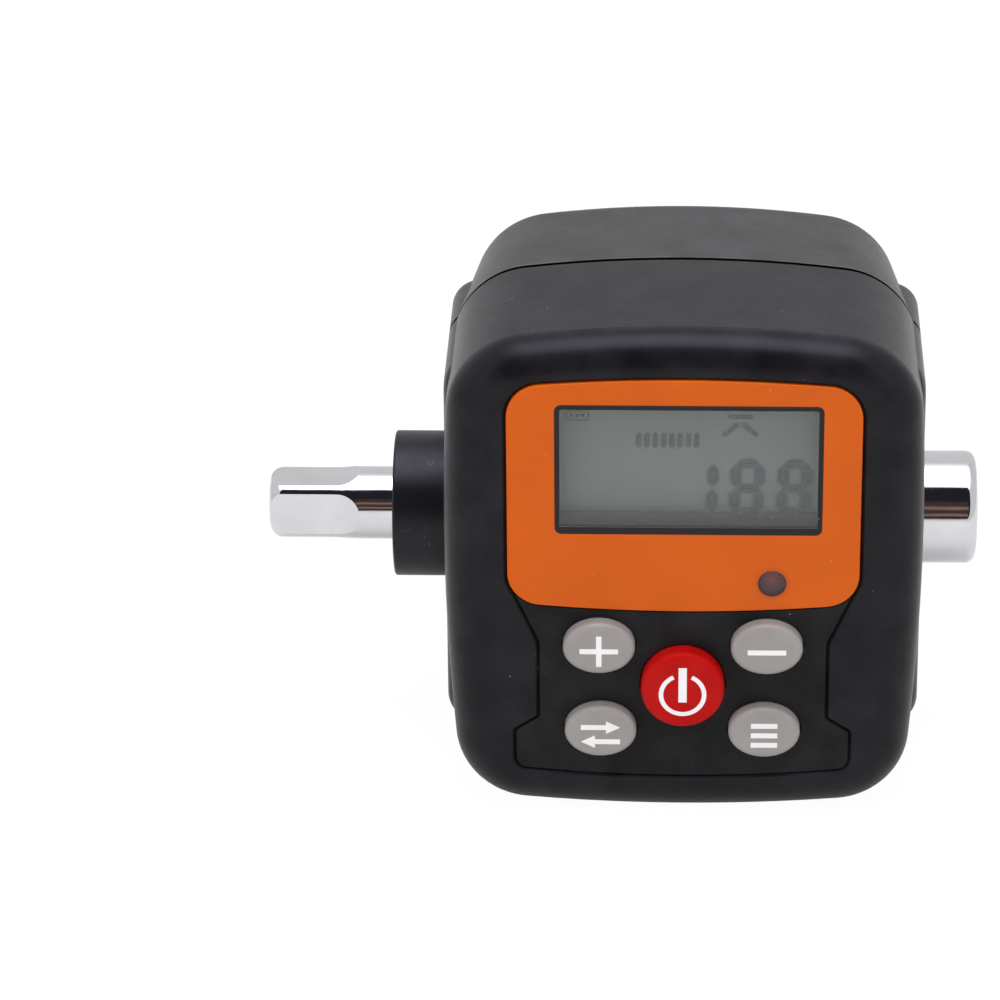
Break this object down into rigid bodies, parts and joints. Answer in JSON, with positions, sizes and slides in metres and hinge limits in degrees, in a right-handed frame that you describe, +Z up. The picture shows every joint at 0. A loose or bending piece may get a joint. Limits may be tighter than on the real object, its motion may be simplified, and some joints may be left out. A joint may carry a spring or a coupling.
{
  "type": "digital torque meter",
  "caption": "Hand-held digital torque meter with a large display and press keys, on a through shaft with a male and a female square drive.",
  "frame": {"origin": "centre of the bounding box's base, where the housing's flat land stands on its surface", "axes": "+X along the shaft from the male square towards the female square, -Y out of the display face, +Z up towards the top of the display"},
  "size_m": [0.1582, 0.0852, 0.1144],
  "materials": {
    "housing_black": "fine satin grain",
    "print_orange": "smooth ink behind the lens",
    "lens_clear": "clear acrylic",
    "display_glass": "reflective grey-green",
    "frame_black": "matt",
    "contact_rubber": "matt",
    "board_green": "solder mask",
    "lamp_red": "diffused",
    "key_grey": "satin",
    "key_red": "satin",
    "silicone_grey": "matt",
    "shaft_chrome": "bright plated",
    "ball_steel": "bright",
    "spring_steel": "wire",
    "collar_black": "black oxide",
    "bush_bronze": "sintered",
    "screw_zinc": "zinc plated",
    "gauge_amber": "film",
    "lead_black": "insulation",
    "component_black": "matt",
    "plug_white": "satin",
    "cell_wrap": "film sleeve",
    "contact_nickel": "nickel plated"
  },
  "bodies": {
    "housing": {"front_shell": "housing_black", "rear_shell": "housing_black", "face_panel": "housing_black", "display_lens": "lens_clear", "lens_print": "print_orange", "lcd_glass": "display_glass", "lcd_frame": "frame_black", "zebra_strips": "contact_rubber", "main_pcb": "board_green", "alarm_led": "lamp_red", "buzzer": "component_black", "control_chip": "component_black", "amplifier_chip": "component_black", "lead_plugs": "plug_white", "keypad_mat": "silicone_grey", "torque_shaft": "shaft_chrome", "detent_spring": "spring_steel", "collar_ring": "collar_black", "collar_grub_screw": "screw_zinc", "locating_pin": "ball_steel", "left_bush": "bush_bronze", "right_bush": "bush_bronze", "strain_gauges": "gauge_amber", "gauge_lead": "lead_black", "battery_cells": "cell_wrap", "battery_contacts": "contact_nickel", "battery_leads": "lead_black", "case_screws": "screw_zinc", "board_screws": "screw_zinc"},
    "plus_key": {"plus_key": "key_grey"},
    "minus_key": {"minus_key": "key_grey"},
    "power_key": {"power_key": "key_red"},
    "unit_key": {"unit_key": "key_grey"},
    "mode_key": {"mode_key": "key_grey"},
    "detent_ball": {"detent_ball": "ball_steel"},
    "battery_door": {"battery_door": "housing_black", "battery_door_screws": "screw_zinc"}
  },
  "joints": [
    {"name": "plus_press", "type": "slide", "parent": "housing", "child": "plus_key", "axis": [0, 1, 0], "range_m": [0, 0.001], "stiffness_N_per_m": 700, "springref_m": -0.0005, "deforming": ["keypad_mat"]},
    {"name": "minus_press", "type": "slide", "parent": "housing", "child": "minus_key", "axis": [0, 1, 0], "range_m": [0, 0.001], "stiffness_N_per_m": 700, "springref_m": -0.0005, "deforming": ["keypad_mat"]},
    {"name": "power_press", "type": "slide", "parent": "housing", "child": "power_key", "axis": [0, 1, 0], "range_m": [0, 0.001], "stiffness_N_per_m": 700, "springref_m": -0.0005, "deforming": ["keypad_mat"]},
    {"name": "unit_press", "type": "slide", "parent": "housing", "child": "unit_key", "axis": [0, 1, 0], "range_m": [0, 0.001], "stiffness_N_per_m": 700, "springref_m": -0.0005, "deforming": ["keypad_mat"]},
    {"name": "mode_press", "type": "slide", "parent": "housing", "child": "mode_key", "axis": [0, 1, 0], "range_m": [0, 0.001], "stiffness_N_per_m": 700, "springref_m": -0.0005, "deforming": ["keypad_mat"]},
    {"name": "detent_press", "type": "slide", "parent": "housing", "child": "detent_ball", "axis": [0, -1, 0], "range_m": [0, 0.0008], "stiffness_N_per_m": 1500, "springref_m": -0.0006, "deforming": ["detent_spring"]},
    {"name": "battery_door_lift", "type": "slide", "parent": "housing", "child": "battery_door", "axis": [0, 1, 0], "range_m": [0, 0.03]}
  ]
}
